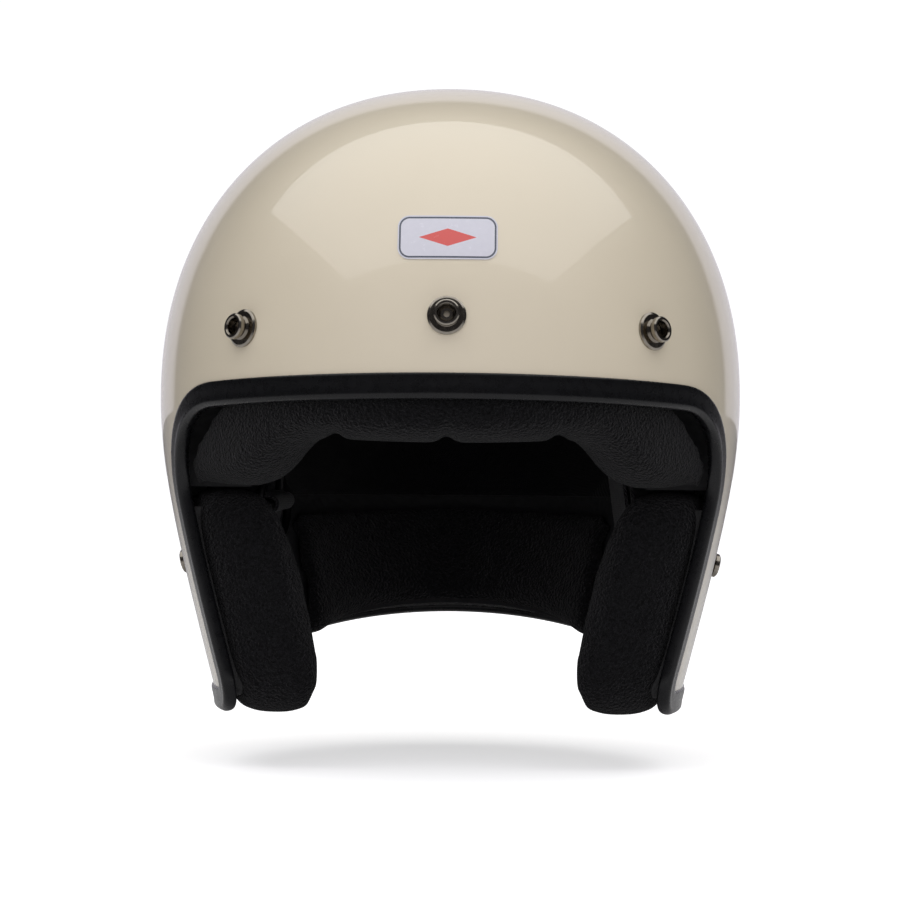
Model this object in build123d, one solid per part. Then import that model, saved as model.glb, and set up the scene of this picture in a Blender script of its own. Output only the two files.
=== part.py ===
from build123d import *
from math import atan2, cos, hypot, pi, sin
import os

os.makedirs("parts", exist_ok=True)

# Open face motorcycle helmet, in millimetres, as it is worn.
# The face looks along -Y, the crown is +Z and the rider's left is +X.
# The origin is the middle of the widest level section of the shell.

# Shell form
HALF_WIDTH = 119.0
FRONT_REACH = 136.0
REAR_REACH = 142.0
CROWN_HEIGHT = 127.3
FULLNESS = 2.17        # 2 would be an ellipse, more is a squarer crown
TUCK_ROUNDING = 45.0   # how softly the wall starts to lean in below the widest section
SIDE_TUCK = 0.28
FRONT_TUCK = 0.03
REAR_TUCK = 0.5
PATCH_DROP = 145.0     # the surface patch runs well below the rim
PATCH_CORNER = 0.45
PATCH_STEPS = 26

# Thicknesses, all measured inwards from the outer face of the shell
SHELL = 2.6
TRIM_WALL = 1.6
TRIM_LAP = 8.0
TRIM_LIP = 2.0
GAP = 0.3
FOAM_START = SHELL + GAP
FOAM_END = 30.0
CHEEK_BACK_END = 16.0
PAD_END = 37.0

# Rim of the shell, seen from the side as (y, z) corners with their radii
BROW_FRONT = (-220, 6.0)
TEMPLE = (-51, -5.0)
JAW_FRONT = (-53.5, -124.5)
JAW_REAR = (5, -124.5)
NAPE_REAR = (220, -57.5)
TEMPLE_RADIUS = 38.0
JAW_RADIUS = 14.0
HEEL_RADIUS = 60.0

# Visor snaps, strap rivets and badge
SNAP_SPOTS = [(0, 0, 30.0), (1, -100, 25.6), (1, 27, -67.0)]   # (side, y, z); side 0 is dead ahead
SNAP_FLANGE_R = 7.4
SNAP_POST_R = 5.0
SNAP_HEIGHT = 6.0
RIVET_R = 2.0
HANGER_Y = 30.0
HANGER_Z = -92.0
BADGE_Z = 60.0
BADGE_SIZE = (38.0, 17.0)

# Chin strap
WEB_WIDTH = 25.0
WEB_THICK = 1.5
EYE_R = 2.25           # inside radius of the sewn eye round the hanger bar
BAR_UP = -18.25        # hanger bar below the rivet
BAR_IN = -9.6          # hanger bar inwards from the shell face
LONG_WEB = 100.0
TAIL_WEB = 66.0
SHORT_WEB = 60.0
LEAN = 23.0            # how far the stowed strap leans in from the plate
RING_WIRE = 1.8


def ring_size(tau, depth=0.0):
    """Half width, front reach, rear reach and height of the level ring at tau from the crown."""
    half, crown = HALF_WIDTH - depth, CROWN_HEIGHT - depth
    front, rear = FRONT_REACH - depth, REAR_REACH - depth
    if tau <= pi / 2:
        stretch = (sin(tau) ** FULLNESS + cos(tau) ** FULLNESS) ** (-1 / FULLNESS)
        grow = stretch * sin(tau)
        return half * grow, front * grow, rear * grow, crown * stretch * cos(tau)
    z = -crown * (tau - pi / 2)
    tuck = hypot(z, TUCK_ROUNDING) - TUCK_ROUNDING
    return half - SIDE_TUCK * tuck, front - FRONT_TUCK * tuck, rear - REAR_TUCK * tuck, z


def skin(u, v, depth):
    """A point this deep in the wall; u runs across and v front to back, each from -1 to 1."""
    reach = 1 + PATCH_DROP / (pi / 2 * (CROWN_HEIGHT - depth))
    s = reach * u * (1 - PATCH_CORNER * v * v) ** 0.5
    t = reach * v * (1 - PATCH_CORNER * u * u) ** 0.5
    turn = atan2(t, s)
    half, front, rear, z = ring_size(pi / 2 * hypot(s, t), depth)
    y = (front + rear) / 2 * sin(turn) + (rear - front) / 2 * sin(turn) ** 2
    return Vector(half * cos(turn), y, z)


def find_spot(side, y, z):
    """The place on the shell at height z and its normal: at y on one side, or dead ahead."""
    low, high = 0.0, pi
    for _ in range(50):
        tau = (low + high) / 2
        if ring_size(tau)[3] > z:
            low = tau
        else:
            high = tau
    half, front, rear, _ = ring_size(tau)
    mid, lean = (front + rear) / 2, (rear - front) / 2
    sine = -1.0
    if side:
        sine = (-mid + (mid * mid + 4 * lean * y) ** 0.5) / (2 * lean)
    cosine = side * (1 - sine * sine) ** 0.5
    point = Vector(half * cosine, mid * sine + lean * sine ** 2, z)
    low_half, low_front, low_rear, low_z = ring_size(tau + 0.01)
    low_y = (low_front + low_rear) / 2 * sine + (low_rear - low_front) / 2 * sine ** 2
    down = Vector(low_half * cosine, low_y, low_z) - point
    level = Vector(-half * sine, (mid + 2 * lean * sine) * cosine, 0)
    normal = level.cross(down).normalized()
    if normal.X * point.X + normal.Y * point.Y < 0:
        normal = normal * -1
    return point, normal


def dome(depth):
    """Everything inside the surface that lies this far under the outer face."""
    steps = [2 * i / PATCH_STEPS - 1 for i in range(PATCH_STEPS + 1)]
    grid = [[skin(u, v, depth) for v in steps] for u in steps]
    face = Face.make_surface_from_array_of_points(grid)
    block = Pos(0, 0, 10) * Box(400, 400, 280)
    pieces = split(block, bisect_by=face, keep=Keep.ALL).solids()
    return next(solid for solid in pieces if solid.is_inside((0, 0, 0)))


domes = {}


def inside(depth):
    if depth not in domes:
        domes[depth] = dome(depth)
    return domes[depth]


def side_view(corners, radii):
    """A closed side view from (y, z) corners; a corner is rounded where its radius isn't 0."""
    view = make_face(Polyline(*corners, close=True))
    for corner, radius in zip(corners, radii):
        if radius:
            nearest = view.vertices().sort_by_distance((corner[0], corner[1], 0))[0]
            view = fillet(nearest, radius)
    return view


def across(view, start=-200.0, end=200.0):
    """The side view drawn out along X."""
    return extrude(Plane.YZ.offset(start) * view, amount=end - start, dir=(1, 0, 0))


def behind_rim(inset):
    """Side view of everything behind the rim of the shell, kept this far away from the rim."""
    corners = [BROW_FRONT, TEMPLE, JAW_FRONT, JAW_REAR, NAPE_REAR, (220, 220), (-220, 220)]
    rim = side_view(corners, [0, TEMPLE_RADIUS, JAW_RADIUS, HEEL_RADIUS, 0, 0, 0])
    return offset(rim, amount=-inset) if inset else rim


def layer(outer, inner, region):
    """The stretch of wall between two depths that lies inside a region."""
    return (inside(outer) & region) - inside(inner)


def turned(profile):
    """A round part from (radius, height) corners, standing on Z."""
    return revolve(Plane.XZ * make_face(Polyline(*profile, close=True)), axis=Axis.Z)


def both_sides(solid):
    return [solid, mirror(solid, about=Plane.YZ)]


def save(name, *solids):
    flat = [piece for solid in solids for piece in solid.solids()]
    whole = flat[0] if len(flat) == 1 else Compound(children=flat)
    export_step(whole, "parts/" + name + ".step")
    return whole


# ---- shell, with a hole for every rivet ----

PLAY = 0.2             # a hole is this much bigger in radius than what goes in it
spots = [find_spot(*spot) for spot in SNAP_SPOTS]
snap_planes = [Plane(origin=point, z_dir=normal) for point, normal in spots]
hanger_point, hanger_normal = find_spot(1, HANGER_Y, HANGER_Z)
hanger_across = (Vector(0, 1, 0) - hanger_normal * hanger_normal.Y).normalized()
hanger_plane = Plane(origin=hanger_point, x_dir=hanger_across, z_dir=hanger_normal)



def at_snaps(solid):
    """A copy of a solid at each of the five visor snaps."""
    middle, *left = [plane.location * solid for plane in snap_planes]
    return [middle] + [copy for one in left for copy in both_sides(one)]


rivet_hole = Cylinder(RIVET_R + PLAY, 30)
shell = layer(0, SHELL, across(behind_rim(0)))
for hole in at_snaps(rivet_hole) + both_sides(hanger_plane.location * rivet_hole):
    shell -= hole
save("outer_shell", shell)


# ---- rubber trim, a channel that grips the rim from both sides ----

trim_band = behind_rim(-TRIM_LIP) - behind_rim(TRIM_LAP)
trim = layer(-TRIM_WALL, SHELL + TRIM_WALL, across(trim_band)) - shell
save("edge_trim", trim)


# ---- visor snaps: a stud outside, a washer inside and a hollow rivet through both ----

STUD_PROFILE = [(2.2, -0.8), (SNAP_FLANGE_R, -0.8), (SNAP_FLANGE_R, 0.7), (6.6, 1.2), (4.7, 1.5), (3.9, 2.3),
                (3.9, 3.1), (SNAP_POST_R, 4.0), (SNAP_POST_R, 5.5), (4.5, SNAP_HEIGHT), (3.7, SNAP_HEIGHT),
                (3.2, 5.4), (3.2, 1.6), (2.2, 1.6)]
SNAP_WASHER = 0.8
WASHER_R = 6.0
WASHER_BACK = -SHELL - 0.2 - SNAP_WASHER
RIVET_PROFILE = [(1.2, WASHER_BACK - 0.8), (4.4, WASHER_BACK - 0.8), (4.4, WASHER_BACK),
                 (RIVET_R, WASHER_BACK), (RIVET_R, 1.6), (2.9, 1.6), (2.9, 2.1), (2.3, 2.4), (1.2, 2.3)]
stud = turned(STUD_PROFILE)
rivet = turned(RIVET_PROFILE)
washer = Pos(0, 0, -SHELL - 0.2) * Cylinder(WASHER_R, 2 * SNAP_WASHER) - rivet_hole
save("visor_snap_studs", *[piece - inside(0) for piece in at_snaps(stud)])
save("visor_snap_rivets", *at_snaps(rivet))
save("visor_snap_washers", *[piece & inside(SHELL) for piece in at_snaps(washer)])


# ---- badge, a thin plate that follows the forehead ----

badge_view = Plane.XZ * Pos(0, BADGE_Z) * RectangleRounded(*BADGE_SIZE, 4.5)
badge = (inside(-0.35) & extrude(badge_view, amount=200)) - inside(0)
save("brow_badge", badge)


# ---- impact liner of moulded foam and the softer block in its crown ----

LINER_INSET = 12.0
SIDE_FLOOR = -36.0     # the foam stops here at the sides, above the cheek pads
REAR_START = 50.0      # behind this the foam runs down to the nape
INSERT_RADIUS = 55.0
INSERT_START = 16.0
CEILING = 25.0         # the crown liner begins here
POCKET_R = 8.0         # room in the foam for the back of a snap
POCKET_DEPTH = 3.5
liner_zone = make_face(Polyline((-220, 200), (220, 200), (220, -200), (REAR_START, -200),
                                (REAR_START, SIDE_FLOOR), (-220, SIDE_FLOOR), close=True))
liner = layer(FOAM_START, FOAM_END, across(behind_rim(LINER_INSET) & liner_zone))
for pocket in at_snaps(Pos(0, 0, -SHELL) * Cylinder(POCKET_R, 2 * POCKET_DEPTH)):
    liner -= pocket
crown_middle = Pos(0, (REAR_REACH - FRONT_REACH) / 2, 100)
insert = layer(INSERT_START, FOAM_END, crown_middle * Cylinder(INSERT_RADIUS, 200))
liner -= inside(INSERT_START - PLAY) & (crown_middle * Cylinder(INSERT_RADIUS + PLAY, 200))
save("impact_liner", liner)
save("crown_insert", insert)


# ---- comfort padding; every piece is closed fleece over sponge ----

PAD_GAP = 0.3
PAD_START = SHELL + TRIM_WALL + 0.4
CROWN_PAD_END = 36.0
BROW_PAD_END = 37.0
brow_view = side_view([(-150, CEILING - 1), (-46, CEILING - 1), (-46, -36), (-58, -35.5), (-80, -26),
                       (-105, -17), (-150, -13)], [0, 0, 4, 10, 10, 20, 0])
foam_space = across(behind_rim(LINER_INSET - PAD_GAP) & liner_zone)
foam_room = (inside(FOAM_START) & foam_space) - inside(FOAM_END + PAD_GAP)
brow_pad = layer(PAD_START, BROW_PAD_END, across(brow_view)) - foam_room
save("brow_bolster", brow_pad)

crown_pad = layer(FOAM_END + PAD_GAP, CROWN_PAD_END, Pos(0, 0, CEILING + 100) * Box(400, 400, 200))
save("crown_liner", crown_pad)

SIDE_PAD_END = 38.0
temple_view = side_view([(-45, CEILING - 1), (2, CEILING - 1), (2, SIDE_FLOOR), (-45, SIDE_FLOOR)],
                        [0, 6, 6, 4])
side_pad = layer(FOAM_END + PAD_GAP, SIDE_PAD_END, across(temple_view, 0, 200))
for side, solid in zip(("left", "right"), both_sides(side_pad)):
    save("side_bolster_" + side, solid)

REAR_SPLIT = -42.0
rear_view = side_view([(REAR_START, CEILING - 1), (200, CEILING - 1), (200, REAR_SPLIT),
                       (REAR_START, REAR_SPLIT)], [6, 0, 0, 6])
save("rear_liner", layer(FOAM_END + PAD_GAP, BROW_PAD_END, across(rear_view)))

roll_view = side_view([(REAR_START, REAR_SPLIT - 1), (200, REAR_SPLIT - 1), (200, -200),
                       (REAR_START, -200)], [8, 0, 0, 0])
neck_roll = layer(PAD_START, PAD_END, across(roll_view & behind_rim(TRIM_LIP))) - foam_room
save("neck_roll", neck_roll)


# ---- cheek pads, each with a stiff backing and three press studs on the shell ----

CHEEK = [(-50.5, -38), (1, -38), (1, -125.8), (-51.5, -125.8)]
CHEEK_RADII = [6, 8, 12, 13]
CHEEK_RIM = 6.0        # the backing stops this far inside the edge of the pad
BACKING_START = PAD_START + 0.4
PRESS_STUD_R = 5.5
CHEEK_SNAP_SPOTS = [(1, -30, -58), (1, -13, -84), (1, -32, -106)]
cheek_view = side_view(CHEEK, CHEEK_RADII)
backing_view = offset(cheek_view, amount=-CHEEK_RIM)
pocket_view = offset(cheek_view, amount=-CHEEK_RIM + PAD_GAP)
backing = layer(BACKING_START, CHEEK_BACK_END, across(backing_view, 0, 200))
cheek = layer(PAD_START, PAD_END, across(cheek_view, 0, 200))
cheek -= layer(FOAM_START, CHEEK_BACK_END + PAD_GAP, across(pocket_view, 0, 200))
for side, solid in zip(("left", "right"), both_sides(cheek)):
    save("cheek_pad_" + side, solid)
for side, solid in zip(("left", "right"), both_sides(backing)):
    save("cheek_backing_" + side, solid)

press_studs = []
for spot in CHEEK_SNAP_SPOTS:
    point, normal = find_spot(*spot)
    column = Plane(origin=point, z_dir=normal).location * Cylinder(PRESS_STUD_R, 30)
    press_studs += both_sides(layer(SHELL, BACKING_START, column))
save("cheek_pad_snaps", *press_studs)


# ---- strap hangers: a cranked plate that turns on a rivet ----
# In these drawings X runs along the hanger bar, Y is up the shell and Z is out through it.

PLATE = 1.6
PLATE_FACE = -3.6
HANGER_RIVET = [(0, -6.6), (4.4, -6.6), (5.2, -5.9), (5.2, -5.5), (RIVET_R, -5.5), (RIVET_R, 0.0), (5.0, 0.0),
                (5.0, 0.5), (3.4, 1.6), (0, 2.0)]
bar_face = BAR_IN + PLATE / 2
plate_side = Polyline((9.5, PLATE_FACE), (-4.5, PLATE_FACE), (-12, bar_face), (-20, bar_face),
                      (-20, bar_face - PLATE), (-12.5, bar_face - PLATE), (-5, PLATE_FACE - PLATE),
                      (9.5, PLATE_FACE - PLATE), close=True)
plate_front = Circle(9.5) + make_face(Polyline((-9.2, 2), (9.2, 2), (16.5, -12), (-16.5, -12), close=True))
plate_front += Pos(0, -15) * RectangleRounded(34, 10, 3)
plate_front -= Circle(RIVET_R + 0.4)
plate_front -= Pos(0, BAR_UP + 3.1) * RectangleRounded(WEB_WIDTH + 1.4, 2.7, 1.2)
plate = extrude(Plane.YZ.offset(-20) * make_face(plate_side), amount=40)
plate &= extrude(plate_front, amount=20, both=True)
for side, solid in zip(("left", "right"), both_sides(hanger_plane.location * plate)):
    save("hanger_plate_" + side, solid)
rivet_core = hanger_plane.location * Cylinder(RIVET_R, 30)
hanger_rivet = hanger_plane.location * turned(HANGER_RIVET) - (inside(0) - inside(SHELL) - rivet_core)
save("strap_rivets", *both_sides(hanger_rivet))
hanger_washer = Pos(0, 0, -2.3) * Cylinder(WASHER_R, 2.0) - rivet_hole
save("strap_rivet_washers", *both_sides(hanger_plane.location * hanger_washer & inside(SHELL)))


# ---- chin strap, stowed up inside the helmet ----
# Along the strap, distance runs from the hanger bar; inwards is away from the shell.

strap_frame = Location(Vector(0, BAR_UP, BAR_IN), (-LEAN, 0, 0))
strap_place = hanger_plane.location * strap_frame
NEAR_FACE = EYE_R
FAR_FACE = EYE_R + WEB_THICK
TAIL_FACE = FAR_FACE + 1.5
FOLD_GAP = 0.4
KEEPER_AT = 48.0
TAB_LENGTH = 20.0
EYE_REACH = 6.0


def web(start, end, face, width=WEB_WIDTH):
    """A flat length of webbing whose outer face lies this far inwards of the strap's line."""
    return Pos(0, (start + end) / 2, -face - WEB_THICK / 2) * Box(width, end - start, WEB_THICK)


def disc(radius, along, near, far):
    return Pos(0, along, -(near + far) / 2) * Cylinder(radius, far - near)


eye = Rot(0, 90, 0) * (Cylinder(EYE_R + WEB_THICK, WEB_WIDTH) - Cylinder(EYE_R, WEB_WIDTH))
bar_hole = Rot(0, 90, 0) * Cylinder(EYE_R, WEB_WIDTH + 2)
long_web = eye + (web(0, LONG_WEB - FOLD_GAP, NEAR_FACE) - bar_hole)
tail_end = LONG_WEB - TAIL_WEB
tail = web(tail_end, LONG_WEB, TAIL_FACE)
tab = Pos(0, tail_end - 4, -TAIL_FACE - WEB_THICK / 2) * Box(WEB_WIDTH + 2, TAB_LENGTH, WEB_THICK + 2)
tab = fillet(tab.edges().filter_by(Axis.Z), 5) - tail
keeper_stud = disc(5.5, KEEPER_AT, FAR_FACE, FAR_FACE + 0.5) + disc(1.8, KEEPER_AT, FAR_FACE, TAIL_FACE - 0.3)
socket = disc(5.5, KEEPER_AT, TAIL_FACE - 0.6, TAIL_FACE) - disc(2.3, KEEPER_AT, 0, 9)
socket_cap = disc(6.0, KEEPER_AT, TAIL_FACE + WEB_THICK, TAIL_FACE + WEB_THICK + 0.8)
save("strap_webbing_left", strap_place * long_web)
save("strap_tail", strap_place * tail)
save("pull_tab", strap_place * tab)
save("keeper_stud", strap_place * keeper_stud)
save("keeper_socket", strap_place * socket, strap_place * socket_cap)


# ---- short strap with its two rings ----

RING_APART = 2.15
RING_R = 15.4
RING_REST = 172.0
ring_middle = NEAR_FACE + WEB_THICK / 2
eye_bore = Pos(0, SHORT_WEB + EYE_REACH, -ring_middle) * extrude(
    Plane.YZ.offset(-WEB_WIDTH) * (Rot(0, 0, 90) * SlotOverall(8.6, 4.3)), amount=2 * WEB_WIDTH)
eye_wall = Pos(0, SHORT_WEB + EYE_REACH, -ring_middle) * extrude(
    Plane.YZ.offset(-WEB_WIDTH / 2) * (Rot(0, 0, 90) * SlotOverall(11.6, 7.3)), amount=WEB_WIDTH)
short_web = eye + (web(0, SHORT_WEB + EYE_REACH - 3, NEAR_FACE) - bar_hole) + eye_wall - eye_bore
save("strap_webbing_right", mirror(strap_place * short_web, about=Plane.YZ))


def ring(depth, turn):
    """A D-shaped wire ring hung in the strap's end, turned inwards from straight up."""
    bow = Torus(RING_R, RING_WIRE) & Pos(0, 25, 0) * Box(60, 50, 20)
    straight = Rot(0, 90, 0) * Cylinder(RING_WIRE, 2 * RING_R)
    ends = Pos(-RING_R, 0, 0) * Sphere(RING_WIRE) + Pos(RING_R, 0, 0) * Sphere(RING_WIRE)
    place = Location((0, SHORT_WEB + EYE_REACH, -depth), (-turn, 0, 0))
    return mirror(strap_place * place * (bow + straight + ends), about=Plane.YZ)


save("d_ring_outer", ring(ring_middle - RING_APART, 0))
save("d_ring_inner", ring(ring_middle + RING_APART, RING_REST))
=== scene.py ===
# %% [markdown]
# # An open face helmet
# The helmet is a thin glossy shell with a rubber edge, foam and fleece inside it, five snap
# studs for a visor and a chin strap that is stowed up inside. The measured parts come in as a
# fixed frame, and everything made here is laid onto them in the same metres.

# %% Load the measured parts
from math import cos, pi, radians, sin

import bmesh
import bpy
import numpy as np
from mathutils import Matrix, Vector


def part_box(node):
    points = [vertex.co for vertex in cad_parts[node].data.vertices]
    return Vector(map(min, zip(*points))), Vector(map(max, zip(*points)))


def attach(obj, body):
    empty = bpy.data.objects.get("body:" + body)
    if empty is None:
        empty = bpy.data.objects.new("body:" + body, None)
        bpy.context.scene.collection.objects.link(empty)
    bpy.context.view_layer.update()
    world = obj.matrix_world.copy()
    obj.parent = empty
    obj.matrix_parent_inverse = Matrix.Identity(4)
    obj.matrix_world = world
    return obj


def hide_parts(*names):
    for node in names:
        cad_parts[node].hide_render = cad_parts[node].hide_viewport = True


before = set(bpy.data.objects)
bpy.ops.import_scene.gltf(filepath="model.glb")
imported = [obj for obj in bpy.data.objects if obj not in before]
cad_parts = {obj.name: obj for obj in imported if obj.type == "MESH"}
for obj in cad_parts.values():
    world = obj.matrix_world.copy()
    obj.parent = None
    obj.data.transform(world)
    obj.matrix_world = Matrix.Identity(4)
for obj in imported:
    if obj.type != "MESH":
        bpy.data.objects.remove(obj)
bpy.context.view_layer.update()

print("nodes:", len(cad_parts))

# %% [markdown]
# ## The form of the wall
# Every layer of the helmet follows one form: a rounded dome over the widest level, and below it
# a wall that leans in, most of all at the nape. A few sizes describe it, and a layer is found by
# its depth under the outer face. Sculpting each layer by hand would let them drift apart, so
# they all ask the same function.

# %% Sizes of the form
MM = 0.001
HALF_WIDTH = 119.0
FRONT_REACH = 136.0
REAR_REACH = 142.0
CROWN_HEIGHT = 127.3
FULLNESS = 2.17
TUCK_ROUNDING = 45.0
SIDE_TUCK, FRONT_TUCK, REAR_TUCK = 0.28, 0.03, 0.5
SHELL = 2.6


def ring_reach(z, depth):
    """Half width, front reach and rear reach of the wall at a height and a depth."""
    crown = CROWN_HEIGHT - depth
    grow = np.where(z > 0, (1 - np.clip(z / crown, 0, 1) ** FULLNESS) ** (1 / FULLNESS), 1.0)
    tuck = np.where(z < 0, np.hypot(z, TUCK_ROUNDING) - TUCK_ROUNDING, 0.0)
    half = (HALF_WIDTH - depth) * grow - SIDE_TUCK * tuck
    front = (FRONT_REACH - depth) * grow - FRONT_TUCK * tuck
    rear = (REAR_REACH - depth) * grow - REAR_TUCK * tuck
    return half, front, rear


def wall(turn, z, depth):
    """Points on the wall in millimetres; turn is 0 at +X and a quarter turn back at +Y."""
    turn, z, depth = np.broadcast_arrays(np.asarray(turn, float), z, depth)
    half, front, rear = ring_reach(z, depth)
    y = (front + rear) / 2 * np.sin(turn) + (rear - front) / 2 * np.sin(turn) ** 2
    return np.stack([half * np.cos(turn), y, z], axis=-1)


def turn_at(y, z, depth):
    """The turn on the +X side where the wall has this y."""
    _, front, rear = ring_reach(np.asarray(z, float), depth)
    mid, lean = (front + rear) / 2, (rear - front) / 2
    root = np.sqrt(np.maximum(mid ** 2 + 4 * lean * y, 0))
    leans = np.abs(lean) > 1e-6
    sine = np.where(leans, (root - mid) / np.where(leans, 2 * lean, 1), y / mid)
    return np.arcsin(np.clip(sine, -1, 1))


def wall_normal(turn, z, depth=0.0):
    step = 1e-3
    level = wall(turn + step, z, depth) - wall(turn - step, z, depth)
    upright = wall(turn, z + step, depth) - wall(turn, z - step, depth)
    normal = np.cross(level, upright)
    return normal / np.linalg.norm(normal, axis=-1, keepdims=True)


print("widest level:", np.round(wall(0.0, 0.0, 0.0), 1), "mm from the middle")

# %% [markdown]
# ## The rim
# The rim is drawn once, seen from the side: along the brow, round the temple, down in front of
# the ear, round the jaw and back up to the nape. Four straight edges with rounded corners are
# all that it needs. The trim follows it, and the shell stops at it.

# %% Draw the rim from the side
BROW_FRONT, TEMPLE, JAW_FRONT = (-220, 6.0), (-51, -5.0), (-53.5, -124.5)
JAW_REAR, NAPE_REAR = (5, -124.5), (220, -57.5)
CORNER_RADII = (38.0, 14.0, 60.0)


def rounded_path(corners, radii):
    """A side view path through corners, with an arc of its radius at each inner corner."""
    points = [np.array(corners[0], float)]
    for before, corner, after, radius in zip(corners, corners[1:], corners[2:], radii):
        before, corner, after = (np.array(p, float) for p in (before, corner, after))
        back = (before - corner) / np.linalg.norm(before - corner)
        ahead = (after - corner) / np.linalg.norm(after - corner)
        half_angle = np.arccos(np.clip(back @ ahead, -1, 1)) / 2
        reach = radius / np.tan(half_angle)
        middle = corner + (back + ahead) / np.linalg.norm(back + ahead) * radius / np.sin(half_angle)
        first, last = corner + back * reach - middle, corner + ahead * reach - middle
        sweep = np.arccos(np.clip(first @ last / radius ** 2, -1, 1))
        for share in np.linspace(0, 1, 25):
            mix = (np.sin((1 - share) * sweep) * first + np.sin(share * sweep) * last) / np.sin(sweep)
            points.append(middle + mix)
    points.append(np.array(corners[-1], float))
    return np.array(points)


rim_view = rounded_path([BROW_FRONT, TEMPLE, JAW_FRONT, JAW_REAR, NAPE_REAR], CORNER_RADII)


def rim_loop(spacing=2.2):
    """The rim all round the helmet as (turn, height) pairs, evenly spaced."""
    start, end = rim_view[0], rim_view[-1]
    steps = np.linalg.norm(np.diff(rim_view, axis=0), axis=1)
    along = np.concatenate([[0], np.cumsum(steps)])
    walk = np.linspace(0, along[-1], 60001)
    y, z = np.interp(walk, along, rim_view[:, 0]), np.interp(walk, along, rim_view[:, 1])
    _, front, rear = ring_reach(z, 0.0)
    keep = (y > -front) & (y < rear)
    turn, z = turn_at(y[keep], z[keep], 0.0), z[keep]
    turn, z = np.concatenate([[-pi / 2], turn, [pi / 2]]), np.concatenate([z[:1], z, z[-1:]])
    fine_turn = np.concatenate([np.linspace(turn[0], turn[1], 30)[:-1], turn[1:-1],
                                np.linspace(turn[-2], turn[-1], 30)])
    fine_z = np.interp(fine_turn, [turn[0], turn[1]], [z[0], z[1]])
    fine_z[29:29 + len(turn) - 2] = z[1:-1]
    fine_z[-30:] = z[-1]
    points = wall(fine_turn, fine_z, 0.0)
    run = np.concatenate([[0], np.cumsum(np.linalg.norm(np.diff(points, axis=0), axis=1))])
    count = int(run[-1] / spacing)
    even = np.linspace(0, run[-1], count)
    right_turn, right_z = np.interp(even, run, fine_turn), np.interp(even, run, fine_z)
    left_turn = pi - right_turn[-2:0:-1]
    return np.concatenate([right_turn, left_turn]), np.concatenate([right_z, right_z[-2:0:-1]])


loop_turn, loop_z = rim_loop()
print("rim stations:", len(loop_turn), "lowest", round(float(loop_z.min()), 1), "mm")

# %% [markdown]
# ## Mesh helpers
# A piece is a list of points and faces. These helpers turn it into an object in metres with
# smooth shading, hang it on its body and hide the measured part it stands for.

# %% Make an object from points and faces
scene = bpy.context.scene


def make_piece(name, points_mm, faces, material, body="helmet", replaces=()):
    mesh = bpy.data.meshes.new(name)
    mesh.from_pydata([tuple(p) for p in np.asarray(points_mm) * MM], [], [tuple(f) for f in faces])
    mesh.validate()
    edit = bmesh.new()
    edit.from_mesh(mesh)
    bmesh.ops.recalc_face_normals(edit, faces=edit.faces)
    edit.to_mesh(mesh)
    edit.free()
    mesh.polygons.foreach_set("use_smooth", [True] * len(mesh.polygons))
    piece = bpy.data.objects.new(name, mesh)
    scene.collection.objects.link(piece)
    piece.data.materials.append(material)
    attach(piece, body)
    if replaces:
        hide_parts(*replaces)
    return piece


def tube_faces(stations, ring, closed):
    """Quads between rings of points; the rings close on themselves, and the tube may too."""
    faces = []
    for i in range(stations if closed else stations - 1):
        a, b = i * ring, (i + 1) % stations * ring
        faces += [(a + j, a + (j + 1) % ring, b + (j + 1) % ring, b + j) for j in range(ring)]
    return faces


print("a tube of 3 rings of 4 points has", len(tube_faces(3, 4, False)), "faces")

# %% [markdown]
# ## Shared effects
# Three effects are wanted on several finishes: a fine grain, a woven cloth and worn edges. Each
# is a small node group with its own inputs, built once, so a change to it reaches every material
# that uses it. A group gives only a mask or a height, and the shader stays in the material.

# %% Build the node groups


def new_group(name, inputs, outputs):
    group = bpy.data.node_groups.new(name, "ShaderNodeTree")
    for label, value in inputs.items():
        socket = group.interface.new_socket(name=label, in_out="INPUT", socket_type="NodeSocketFloat")
        socket.default_value = value
    for label in outputs:
        group.interface.new_socket(name=label, in_out="OUTPUT", socket_type="NodeSocketFloat")
    return group, group.nodes.new("NodeGroupInput"), group.nodes.new("NodeGroupOutput")


def add_math(tree, operation, first, second=None):
    node = tree.nodes.new("ShaderNodeMath")
    node.operation = operation
    for socket, value in zip(node.inputs, (first, second)):
        if isinstance(value, (int, float)):
            socket.default_value = value
        elif value is not None:
            tree.links.new(value, socket)
    return node.outputs[0]


def object_place(tree):
    return tree.nodes.new("ShaderNodeTexCoord").outputs["Object"]


def build_grain():
    """Soft noise at one size, sharpened by contrast: peel in paint, nap in fleece."""
    group, entry, result = new_group("fine grain", {"Size mm": 1.0, "Contrast": 1.0}, ["Mask"])
    noise = group.nodes.new("ShaderNodeTexNoise")
    noise.inputs["Detail"].default_value = 4.0
    group.links.new(object_place(group), noise.inputs["Vector"])
    group.links.new(add_math(group, "DIVIDE", 1000.0, entry.outputs["Size mm"]), noise.inputs["Scale"])
    centred = add_math(group, "SUBTRACT", noise.outputs["Fac"], 0.5)
    spread = add_math(group, "MULTIPLY", centred, entry.outputs["Contrast"])
    group.links.new(add_math(group, "ADD", spread, 0.5), result.inputs["Mask"])
    return group


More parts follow.
